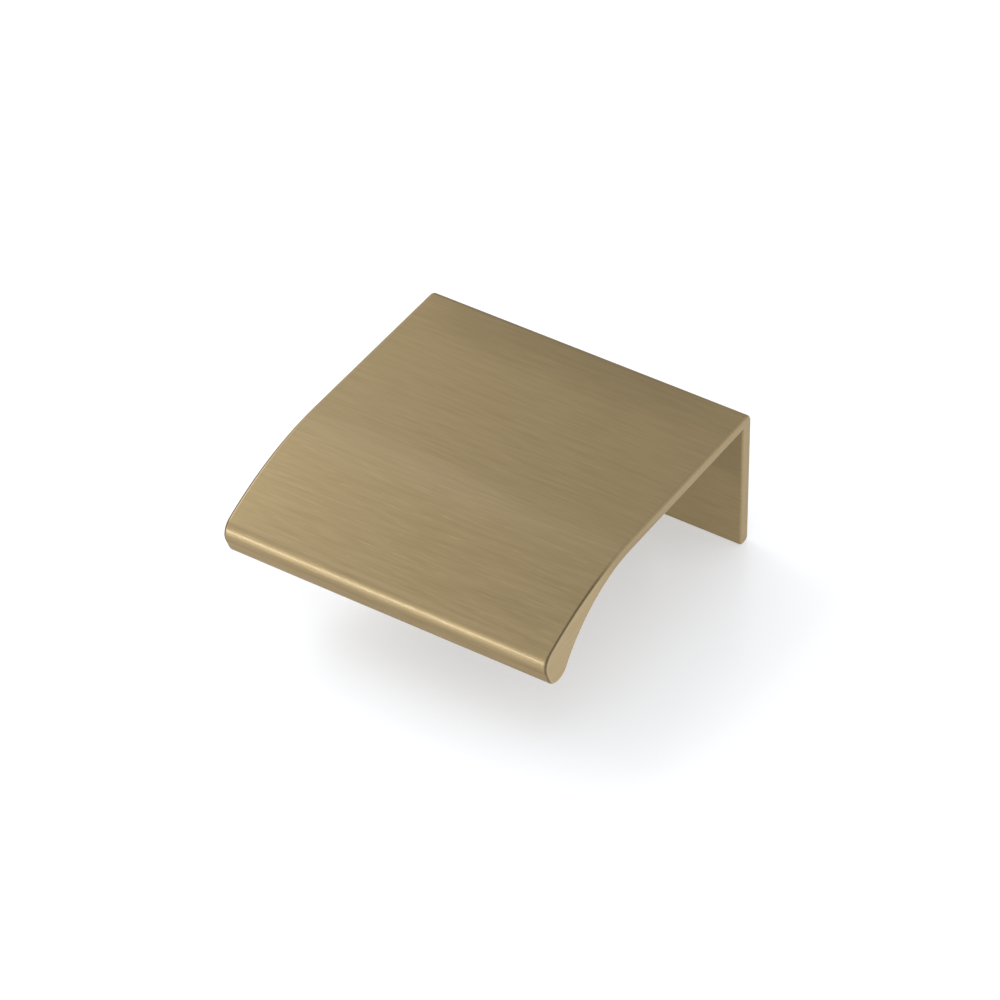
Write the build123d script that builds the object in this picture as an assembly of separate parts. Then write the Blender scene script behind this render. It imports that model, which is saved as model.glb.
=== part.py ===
from build123d import *

import os
from math import atan2, cos, degrees, radians, sin, sqrt, tan

# A profile handle: one cut length of an aluminium extrusion. Its arm lies over the top edge
# of a drawer front, its flange hangs behind the front for two screws, and its lip curves down
# ahead of the front for the fingers. X runs along the extrusion, -Y is the front and +Z is up.
# The origin is midway between the screws, on the flange's face that lies against the panel.

# Sizes in millimetres, with angles in degrees
profile_length = 40.0
flange_height = 17.7  # top of the arm to the foot of the flange
flange_wall = 1.5
arm_wall = 1.4
arm_flat = 23.7  # back of the flange to where the top starts to fall
lip_reach = 17.2  # on from there to the foremost line of the lip
fall_radius = 37.0  # the long round of the top towards the lip
brow_radius = 2.0  # from the falling top to the lip's front
lip_lean = 22.5  # how far the lip's front leans back on its way down
lip_height = 3.2  # foremost line of the lip to its lowest line
tip_radius = 1.9  # under the lip
grip_radius = 15.0  # the hollow behind the lip
heel_radius = 1.0  # over the back of the arm
toe_radius = 0.7  # back of the flange's foot
seat_corner_radius = 0.3  # inside, between the arm and the flange
cut_edge_radius = 0.4  # the deburred saw cuts at both ends
screw_drop = 8.0  # underside of the arm to the screws
screw_spacing = 20.0
screw_hole_radius = 1.8
countersink_angle = 90.0
countersink_land = 0.4  # straight wall left under the countersink

# The rounds on a wall's two sides may take this much of it between them.
rounded_share = 0.75
thinner_wall = min(arm_wall, flange_wall)
cut_edge_round = min(cut_edge_radius, rounded_share * thinner_wall / 2.0)
heel_round = min(heel_radius, rounded_share * thinner_wall)
toe_round = min(toe_radius, rounded_share * flange_wall - cut_edge_round)


def place(point):
    """Turn (forward of the flange's back, above the arm's top) into the model's Y and Z."""
    return (flange_wall - point[0], arm_wall + screw_drop + point[1])


def step(point, distance, angle):
    """Go a distance from a point, at an angle above the forward direction."""
    return (point[0] + distance * cos(radians(angle)), point[1] + distance * sin(radians(angle)))


def bearing(start, end):
    """Angle of the line from one point to another, above the forward direction."""
    return degrees(atan2(end[1] - start[1], end[0] - start[0]))


def lip_points():
    """Where the lip's arcs meet, from the falling top round the lip to the arm's underside.

    The brow is tangent inside the fall and just reaches the foremost line. The tip is
    tangent to the leaning front and ends the lip's height below that line. The grip is
    tangent to both the tip and the arm's underside.
    """
    fall_centre = (arm_flat, -fall_radius)
    brow_reach = lip_reach - brow_radius
    brow_height = sqrt((fall_radius - brow_radius) ** 2 - brow_reach**2) - fall_radius
    brow_centre = (arm_flat + brow_reach, brow_height)
    brow_start = step(fall_centre, fall_radius, bearing(fall_centre, brow_centre))
    front_top = step(brow_centre, brow_radius, -lip_lean)

    tip_height = brow_height - lip_height + tip_radius
    front_drop = front_top[1] + tip_radius * sin(radians(lip_lean)) - tip_height
    front_bottom = step(front_top, front_drop / cos(radians(lip_lean)), -90.0 - lip_lean)
    tip_centre = step(front_bottom, -tip_radius, -lip_lean)

    grip_height = -arm_wall - grip_radius
    grip_reach = sqrt((grip_radius + tip_radius) ** 2 - (tip_height - grip_height) ** 2)
    grip_centre = (tip_centre[0] - grip_reach, grip_height)
    tip_end = step(grip_centre, grip_radius, bearing(grip_centre, tip_centre))
    grip_end = (grip_centre[0], -arm_wall)
    return brow_start, front_top, front_bottom, tip_end, grip_end


def section():
    """The extrusion's closed section, as a face in the YZ plane."""
    brow_start, front_top, front_bottom, tip_end, grip_end = lip_points()
    seat_corner = (flange_wall, -arm_wall)
    toe_front = (flange_wall, -flange_height)
    toe_back = (0.0, -flange_height)
    heel = (0.0, 0.0)
    fall_start = (arm_flat, 0.0)
    straight_walls = (grip_end, seat_corner, toe_front, toe_back, heel, fall_start)
    with BuildSketch(Plane.YZ) as face:
        with BuildLine():
            FilletPolyline(
                [place(corner) for corner in straight_walls],
                radius=[seat_corner_radius, 0.0, toe_round, heel_round],
            )
            fall = TangentArc(place(fall_start), place(brow_start), tangent=(-1.0, 0.0))
            brow = TangentArc(fall @ 1, place(front_top), tangent=fall % 1)
            front = Line(brow @ 1, place(front_bottom))
            tip = TangentArc(front @ 1, place(tip_end), tangent=front % 1)
            TangentArc(tip @ 1, place(grip_end), tangent=tip % 1)
        make_face()
    return face.sketch


def handle():
    """The cut length of extrusion, with its edges broken and its screw holes sunk from behind."""
    sink_depth = flange_wall - countersink_land
    sink_radius = screw_hole_radius + sink_depth * tan(radians(countersink_angle / 2.0))
    drill_depth = 2.0 * flange_wall
    with BuildPart() as piece:
        extrude(section(), amount=profile_length / 2.0, both=True)
        cut_edges = piece.faces().filter_by(Axis.X).edges()
        toe_edge = piece.edges().filter_by(Axis.X).group_by(Axis.Z)[0].sort_by(Axis.Y)[0]
        fillet(cut_edges + [toe_edge], radius=cut_edge_round)
        with Locations(Plane((0.0, flange_wall, 0.0), x_dir=(1, 0, 0), z_dir=(0, 1, 0))):
            with GridLocations(screw_spacing, 0.0, 2, 1):
                CounterSinkHole(screw_hole_radius, sink_radius, drill_depth, countersink_angle)
    return piece.part


os.makedirs("parts", exist_ok=True)
export_step(handle(), "parts/handle.step")
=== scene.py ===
from math import cos, pi, radians, sin

import bmesh
import bpy
from mathutils import Matrix, Vector


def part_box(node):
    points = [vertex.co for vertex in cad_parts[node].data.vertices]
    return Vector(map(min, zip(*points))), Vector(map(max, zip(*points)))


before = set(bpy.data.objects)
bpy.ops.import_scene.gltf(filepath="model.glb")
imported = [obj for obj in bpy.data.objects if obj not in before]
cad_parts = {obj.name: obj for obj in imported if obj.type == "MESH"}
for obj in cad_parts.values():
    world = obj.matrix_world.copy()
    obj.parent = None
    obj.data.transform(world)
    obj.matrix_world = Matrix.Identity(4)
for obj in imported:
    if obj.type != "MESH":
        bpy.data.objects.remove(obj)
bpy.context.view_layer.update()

mm = 0.001  # the frame is in metres, real sizes below are in millimetres


# sRGB hex to the linear values that a shader takes
def linearColour(hexColour):
    channels = [int(hexColour[i:i + 2], 16) / 255 for i in (1, 3, 5)]
    return [c / 12.92 if c <= 0.04045 else ((c + 0.055) / 1.055) ** 2.4 for c in channels] + [1.0]


# Adds one node. Settings are its own properties, and an input is a value, a socket or a node,
# which stands for its first output
def addNode(tree, kind, settings={}, inputs={}):
    node = tree.nodes.new(kind)
    for name, value in settings.items():
        setattr(node, name, value)
    for key, value in inputs.items():
        if isinstance(value, bpy.types.Node):
            value = value.outputs[0]
        if isinstance(value, bpy.types.NodeSocket):
            tree.links.new(value, node.inputs[key])
        else:
            node.inputs[key].default_value = value
    return node


def newMaterial(name):
    material = bpy.data.materials.new(name)
    material.use_nodes = True
    material.node_tree.nodes.clear()
    return material, material.node_tree


# Camera: found by fitting a pinhole camera to the handle's outline in the photo
cameraView = {
    "target": Vector((0.958, -18.314, 2.972)) * mm,
    "azimuth": 32.819,  # degrees round from the front, towards +X
    "elevation": 40.543,
    "roll": -0.562,
    "distance": 582.01 * mm,
    "clipStart": 10 * mm,
    "sensor": 36.0,
    "focalLength": 198.35,  # in the sensor's millimetres
}


def makeCamera(view):
    azimuth, elevation, roll = (radians(view[angle]) for angle in ("azimuth", "elevation", "roll"))
    back = Vector((sin(azimuth) * cos(elevation), -cos(azimuth) * cos(elevation), sin(elevation)))
    level = Vector((cos(azimuth), sin(azimuth), 0.0))
    upright = back.cross(level)
    right = level * cos(roll) + upright * sin(roll)
    up = upright * cos(roll) - level * sin(roll)
    cameraData = bpy.data.cameras.new("camera")
    cameraData.sensor_width = view["sensor"]
    cameraData.lens = view["focalLength"]
    cameraData.clip_start = view["clipStart"]
    camera = bpy.data.objects.new("camera", cameraData)
    turn = Matrix((right, up, back)).transposed().to_4x4()
    camera.matrix_world = Matrix.Translation(view["target"] + back * view["distance"]) @ turn
    bpy.context.scene.collection.objects.link(camera)
    bpy.context.scene.camera = camera
    print("camera placed")


# Light: a white room, softboxes on the upper left, a dim one overhead, and low in front a thin bright strip
# inside a taller dim one
studioLight = {
    "roomSeen": 1.0,  # white, for rays that look at the room directly, by reflection or through glass
    "roomLight": 0.78,  # for rays that only light the scene
    "softboxes": {
        # name: (where it stands, what it is aimed at, width, height, strength as seen)
        # the thin strip draws the highlight along the lip's brow
        "stripFront": ((-98, -200, -3), (0, -39, 0), 130, 9, 17.0),
        "fillFront": ((-80, -200, 8), (0, -39, 5), 130, 32, 1.35),
        "softboxLeft": ((-289, -25, 281), (0, -25, 4), 260, 200, 3.35),
        "softboxLeftRear": ((-248, 155, 260), (0, -25, 4), 200, 200, 1.0),
        "softboxLeftFront": ((-248, -205, 260), (0, -25, 4), 200, 200, 1.0),
        "softboxOver": ((50, -175, 478), (0, -25, 4), 300, 300, 0.8),
    },
}


def makeLight(light):
    world = bpy.data.worlds.new("whiteRoom")
    world.use_nodes = True
    tree = world.node_tree
    tree.nodes.clear()
    rays = addNode(tree, "ShaderNodeLightPath")
    seen = addNode(tree, "ShaderNodeMath", {"operation": "MAXIMUM"}, {
        0: rays.outputs["Is Camera Ray"], 1: rays.outputs["Is Glossy Ray"]})
    seen = addNode(tree, "ShaderNodeMath", {"operation": "MAXIMUM"}, {
        0: seen, 1: rays.outputs["Is Transmission Ray"]})
    brightness = addNode(tree, "ShaderNodeMapRange", {}, {
        "Value": seen, "To Min": light["roomLight"], "To Max": light["roomSeen"]})
    room = addNode(tree, "ShaderNodeBackground", {}, {"Color": (1, 1, 1, 1), "Strength": brightness})
    addNode(tree, "ShaderNodeOutputWorld", {}, {"Surface": room})
    bpy.context.scene.world = world

    for name, (place, aim, width, height, strength) in light["softboxes"].items():
        lampData = bpy.data.lights.new(name, "AREA")
        lampData.shape = "RECTANGLE"
        lampData.size = width * mm
        lampData.size_y = height * mm
        # an area lamp of this power looks as bright as a surface of that strength
        lampData.energy = strength * pi * lampData.size * lampData.size_y
        lamp = bpy.data.objects.new(name, lampData)
        lamp.location = Vector(place) * mm
        lamp.rotation_euler = (Vector(place) - Vector(aim)).to_track_quat("Z", "Y").to_euler()
        bpy.context.scene.collection.objects.link(lamp)
    bpy.context.scene.view_settings.view_transform = "Standard"
    print("light placed")


# Floor: satin white sheet, level with the flange's foot
floorSheet = {
    "halfSize": 1500 * mm,
    "colour": "#cccfd4",
    "roughness": 0.25,  # satin enough to mirror the low strip into the lip
    # added to what the camera sees, and to what the metal mirrors, to bring the floor up to white
    "addedWhite": 0.44,
    "mirroredWhite": 0.72,
}


def makeFloor(sheet):
    material, tree = newMaterial("satinWhiteSheet")
    rays = addNode(tree, "ShaderNodeLightPath")
    mirrored = addNode(tree, "ShaderNodeMath", {"operation": "MAXIMUM"}, {
        0: rays.outputs["Is Glossy Ray"], 1: rays.outputs["Is Transmission Ray"]})
    mirrored = addNode(tree, "ShaderNodeMath", {"operation": "MULTIPLY"}, {
        0: mirrored, 1: sheet["mirroredWhite"]})
    added = addNode(tree, "ShaderNodeMath", {"operation": "MULTIPLY_ADD"}, {
        0: rays.outputs["Is Camera Ray"], 1: sheet["addedWhite"], 2: mirrored})
    plastic = addNode(tree, "ShaderNodeBsdfPrincipled", {}, {
        "Base Color": linearColour(sheet["colour"]), "Roughness": sheet["roughness"]})
    glow = addNode(tree, "ShaderNodeEmission", {}, {"Color": (1, 1, 1, 1), "Strength": added})
    both = addNode(tree, "ShaderNodeAddShader", {}, {0: plastic, 1: glow})
    addNode(tree, "ShaderNodeOutputMaterial", {}, {"Surface": both})
    material.cycles.emission_sampling = "NONE"  # found by the rays that see it, not sampled as a lamp

    mesh = bpy.data.meshes.new("floor")
    shape = bmesh.new()
    bmesh.ops.create_grid(shape, x_segments=1, y_segments=1, size=sheet["halfSize"])
    bmesh.ops.translate(shape, verts=shape.verts, vec=(0, 0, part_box("handle")[0].z))
    shape.to_mesh(mesh)
    shape.free()
    mesh.materials.append(material)
    floor = bpy.data.objects.new("floor", mesh)
    bpy.context.scene.collection.objects.link(floor)
    print("floor laid")


# Handle: an aluminium extrusion, brushed lengthwise and anodised in a muted brass tone. The eye sees a satin
# sheen drawn out across fine lengthwise lines. The sawn ends are paler and more matt.
handleFinish = {
    "brushed": ("#7e6e4d", "#8a7958"),  # between the lines and on them
    "sawn": ("#ab9874", "#b9a681"),
    "sawnTilt": (0.6, 0.9),  # the cut edge's round turns from brushed to sawn between these sideways tilts
    "edgeTint": "#95815d",  # the dye keeps its colour where the metal is seen at a slant
    "roughness": (0.33, 0.41),
    "sawnRoughness": (0.46, 0.56),
    "sheenStretch": 0.7,
    "clearSkin": 0.35,  # the sealed, glass-clear outside of the anodised layer
    "clearSkinIor": 1.65,
    "clearSkinRoughness": 0.19,
    # length and width of the marks in mm. Real brush lines are some 0.05 mm wide: too fine to show here
    "hairlines": (6.0, 0.12),
    "streaks": (5.0, 0.35),
    "scuffs": (3.0, 0.3),
    "sawMarks": (8.0, 0.15),
    "markDetail": 2.0,
    "streakShare": 0.5,  # the hairlines make up the rest
    "markContrast": (0.3, 0.7),  # these levels of the marks' noise become 0 and 1
    "markDepth": 0.0015 * mm,
    "scuffedAbove": (0.6, 0.75),  # only the peaks of the scuffs' pattern show
    "scuffWhite": 0.12,
    "scuffedFrom": (-18 * mm, -30 * mm),  # hands wear the front third
    # painted shade: the top is darker along its back edge, and less so near its two ends
    "paintedBackShade": 0.16,
    "paintedBackShadeFrom": (-8 * mm, 0.0),
    "paintedBackShadeLeft": (-23 * mm, -12 * mm),
    "paintedBackShadeRight": (26 * mm, 8 * mm),
    # painted shade on the cut edge's round beside the lip
    "lipFrom": (-25 * mm, -31 * mm),
    "cutEdgeTilt": (0.1, 0.4),
    "paintedEdgeShade": 0.5,
    # painted highlight on the cut edge's round behind the lip
    "paintedEdgeHighlight": 0.22,
    # painted shade on the sawn face behind the lip
    "paintedArmEndShade": 0.17,
    # painted reflection of a bright floor: the lip's lower front is paler
    "paintedTipReflection": 0.26,
    "tipFrom": (-36.5 * mm, -38.5 * mm),
    "tipBelow": (3.7 * mm, 2.7 * mm),
}


def makeHandleFinish(finish):
    material, tree = newMaterial("brushedAnodisedAluminium")
    where = addNode(tree, "ShaderNodeTexCoord")
    place = addNode(tree, "ShaderNodeSeparateXYZ", {}, {0: where.outputs["Object"]})
    facing = addNode(tree, "ShaderNodeSeparateXYZ", {}, {0: where.outputs["Normal"]})
    sideways = addNode(tree, "ShaderNodeMath", {"operation": "ABSOLUTE"}, {0: facing.outputs["X"]})

    # lines along the extrusion on the brushed faces, and from front to back on the sawn ones
    marks = {}
    for name, along in (("hairlines", 0), ("streaks", 0), ("scuffs", 0), ("sawMarks", 1)):
        length, width = finish[name]
        spacing = [1 / (width * mm)] * 3
        spacing[along] = 1 / (length * mm)
        stretched = addNode(tree, "ShaderNodeMapping", {}, {
            "Vector": where.outputs["Object"], "Scale": spacing})
        marks[name] = addNode(tree, "ShaderNodeTexNoise", {}, {
            "Vector": stretched, "Scale": 1.0, "Detail": finish["markDetail"]})

    # masks that rise from 0 to 1 between the two values of a setting
    masks = {}
    for name, source, setting in (
            ("sawn", sideways, "sawnTilt"),
            ("cutEdge", sideways, "cutEdgeTilt"),
            ("backEdge", place.outputs["Y"], "paintedBackShadeFrom"),
            ("offLeft", place.outputs["X"], "paintedBackShadeLeft"),
            ("offRight", place.outputs["X"], "paintedBackShadeRight"),
            ("lip", place.outputs["Y"], "lipFrom"),
            ("tip", place.outputs["Y"], "tipFrom"),
            ("low", place.outputs["Z"], "tipBelow"),
            ("handled", place.outputs["Y"], "scuffedFrom"),
            ("scuffed", marks["scuffs"], "scuffedAbove")):
        start, end = finish[setting]
        masks[name] = addNode(tree, "ShaderNodeMapRange", {"interpolation_type": "SMOOTHSTEP"}, {
            "Value": source, "From Min": start, "From Max": end})
    for name, opposite in (("brushed", "sawn"), ("behindLip", "lip")):
        masks[name] = addNode(tree, "ShaderNodeMath", {"operation": "SUBTRACT"}, {0: 1.0, 1: masks[opposite]})
    masks["top"] = addNode(tree, "ShaderNodeMath", {"operation": "MAXIMUM"}, {0: facing.outputs["Z"], 1: 0.0})

    # the colour's tone, changed where all the masks of a line are above 0
    tone = 1.0
    # all lines but the scuffs are painted shade, a painted highlight and a painted reflection
    for change, areas in (
            (-finish["paintedBackShade"], ("backEdge", "offLeft", "offRight", "top")),
            (-finish["paintedEdgeShade"], ("cutEdge", "lip", "brushed")),
            (finish["paintedEdgeHighlight"], ("cutEdge", "behindLip", "brushed")),
            (-finish["paintedArmEndShade"], ("sawn", "behindLip")),
            (finish["paintedTipReflection"], ("tip", "low", "brushed")),
            (finish["scuffWhite"], ("scuffed", "handled", "brushed"))):
        for area in areas:
            change = addNode(tree, "ShaderNodeMath", {"operation": "MULTIPLY"}, {0: change, 1: masks[area]})
        tone = addNode(tree, "ShaderNodeMath", {"operation": "ADD"}, {0: tone, 1: change})

    lowest, highest = finish["markContrast"]
    brushLines = addNode(tree, "ShaderNodeMix", {}, {
        "Factor": finish["streakShare"], "A": marks["hairlines"], "B": marks["streaks"]})
    lines = addNode(tree, "ShaderNodeMix", {}, {
        "Factor": masks["sawn"], "A": brushLines, "B": marks["sawMarks"]})
    lines = addNode(tree, "ShaderNodeMapRange", {}, {"Value": lines, "From Min": lowest, "From Max": highest})

    # a colour Mix takes its two colours at inputs 6 and 7, and its result is output 2
    colours = [addNode(tree, "ShaderNodeMix", {"data_type": "RGBA"}, {
        "Factor": lines, 6: linearColour(dark), 7: linearColour(light)}).outputs[2]
        for dark, light in (finish["brushed"], finish["sawn"])]
    colour = addNode(tree, "ShaderNodeMix", {"data_type": "RGBA"}, {
        "Factor": masks["sawn"], 6: colours[0], 7: colours[1]}).outputs[2]
    colour = addNode(tree, "ShaderNodeVectorMath", {"operation": "SCALE"}, {0: colour, "Scale": tone})
    roughnesses = [addNode(tree, "ShaderNodeMapRange", {}, {
        "Value": lines, "To Min": smooth, "To Max": rough})
        for smooth, rough in (finish["roughness"], finish["sawnRoughness"])]
    roughness = addNode(tree, "ShaderNodeMix", {}, {
        "Factor": masks["sawn"], "A": roughnesses[0], "B": roughnesses[1]})
    bump = addNode(tree, "ShaderNodeBump", {}, {"Distance": finish["markDepth"], "Height": lines})

    # the sheen is widest across the lines, which is up and down on the sawn faces
    across = addNode(tree, "ShaderNodeVectorMath", {"operation": "CROSS_PRODUCT"}, {
        0: where.outputs["Normal"], 1: (1.0, 0.0, 0.0)})
    across = addNode(tree, "ShaderNodeVectorMath", {"operation": "MULTIPLY_ADD"}, {
        0: masks["sawn"], 1: (0.0, 0.0, 1.0), 2: across})
    metal = addNode(tree, "ShaderNodeBsdfPrincipled", {}, {
        "Base Color": colour,
        "Metallic": 1.0,
        "Roughness": roughness,
        "Specular Tint": linearColour(finish["edgeTint"]),
        "Anisotropic": finish["sheenStretch"],
        "Tangent": across,
        "Coat Weight": finish["clearSkin"],
        "Coat IOR": finish["clearSkinIor"],
        "Coat Roughness": finish["clearSkinRoughness"],
        "Normal": bump,
    })
    addNode(tree, "ShaderNodeOutputMaterial", {}, {"Surface": metal})
    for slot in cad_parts["handle"].material_slots:
        slot.material = material
    print("handle finished")


makeCamera(cameraView)
makeLight(studioLight)
makeFloor(floorSheet)
makeHandleFinish(handleFinish)
